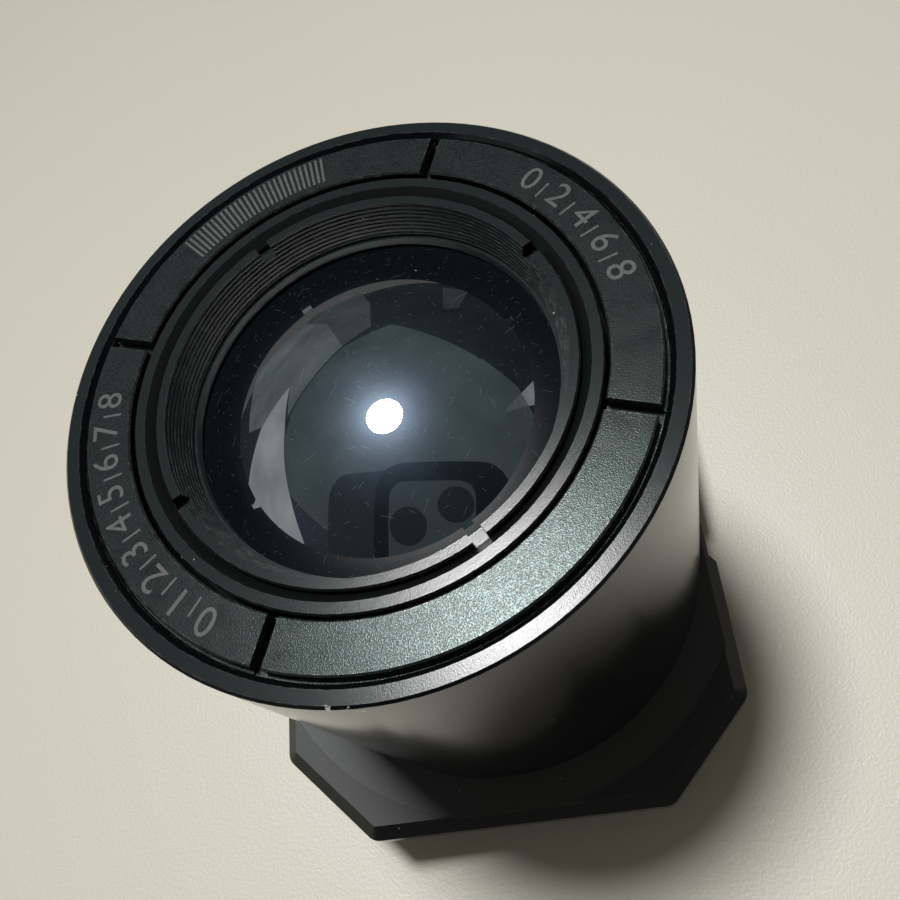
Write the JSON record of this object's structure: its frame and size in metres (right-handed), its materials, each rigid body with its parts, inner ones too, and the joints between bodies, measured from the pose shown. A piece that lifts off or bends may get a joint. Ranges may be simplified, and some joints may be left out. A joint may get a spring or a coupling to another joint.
{
  "type": "infrared objective lens",
  "caption": "Barrel-shaped thermal imaging lens: domed coated glass in notched rings, a bevelled rectangular flange with cut corners and a threaded rear spigot.",
  "frame": {"origin": "centre of the rear end face, which the lens stands on", "axes": "+Z along the optical axis to the front glass; +Y along the longer side of the flange; +X across it"},
  "size_m": [0.0464, 0.0524, 0.0512],
  "materials": {
    "barrel_anodised": "black anodised, smooth turned, satin",
    "lock_ring_anodised": "black anodised over fine bead blasting",
    "cell_anodised": "black anodised, turned",
    "ring_anodised": "black anodised, turned",
    "coated_germanium": "polished germanium, dark carbon coating",
    "inner_glass": "polished infrared glass, opaque to the eye",
    "rear_germanium": "polished germanium, coated",
    "black_rubber": "matt",
    "dark_plastic": "matt",
    "acetal": "natural acetal",
    "stop_steel": "blackened",
    "spring_steel": "ground",
    "pin_steel": "hardened and ground"
  },
  "bodies": {
    "root": {"outer_barrel": "barrel_anodised", "slotted_lock_ring": "lock_ring_anodised", "lens_cell": "cell_anodised", "front_retaining_ring": "ring_anodised", "front_element": "coated_germanium", "front_o_ring": "black_rubber", "front_seat_washer": "dark_plastic", "middle_element": "inner_glass", "aperture_stop": "stop_steel", "spacer_tube": "cell_anodised", "rear_element": "rear_germanium", "rear_o_ring": "black_rubber", "rear_retaining_ring": "ring_anodised", "wave_spring": "spring_steel", "focus_shim": "spring_steel", "compensator_ring": "acetal", "guide_pin_1": "pin_steel", "guide_pin_2": "pin_steel", "cell_o_ring_front": "black_rubber", "cell_o_ring_rear": "black_rubber", "flange_o_ring": "black_rubber"}
  },
  "joints": []
}
